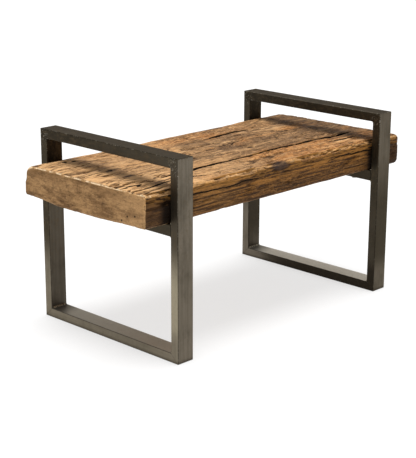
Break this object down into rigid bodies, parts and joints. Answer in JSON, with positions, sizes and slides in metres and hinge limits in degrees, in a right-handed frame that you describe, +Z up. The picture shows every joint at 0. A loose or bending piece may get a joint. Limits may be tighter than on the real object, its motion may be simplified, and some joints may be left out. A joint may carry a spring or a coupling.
{
  "type": "entryway bench",
  "caption": "Low bench: a thick hewn timber slab seat held in two rectangular steel tube loops that form the legs, floor rails and raised handle rails.",
  "frame": {"origin": "on the floor, under the middle of the seat", "axes": "+X along the seat's length, +Y to the back, +Z up"},
  "size_m": [0.966, 0.5, 0.505],
  "materials": {
    "timber": "waxed hand-hewn reclaimed timber, worn edges, drying cracks",
    "frame_steel": "dark gunmetal patina, satin lacquer",
    "weld_metal": "dressed weld beads under the same patina",
    "fastener_steel": "dull zinc-plated steel"
  },
  "bodies": {
    "root": {"seat_slab": "timber", "left_front_post": "frame_steel", "left_rear_post": "frame_steel", "left_handle_rail": "frame_steel", "left_floor_rail": "frame_steel", "left_seat_crossbar": "frame_steel", "left_corner_welds": "weld_metal", "left_crossbar_welds": "weld_metal", "left_washers": "fastener_steel", "left_coach_screws": "fastener_steel", "right_front_post": "frame_steel", "right_rear_post": "frame_steel", "right_handle_rail": "frame_steel", "right_floor_rail": "frame_steel", "right_seat_crossbar": "frame_steel", "right_corner_welds": "weld_metal", "right_crossbar_welds": "weld_metal", "right_washers": "fastener_steel", "right_coach_screws": "fastener_steel"}
  },
  "joints": []
}
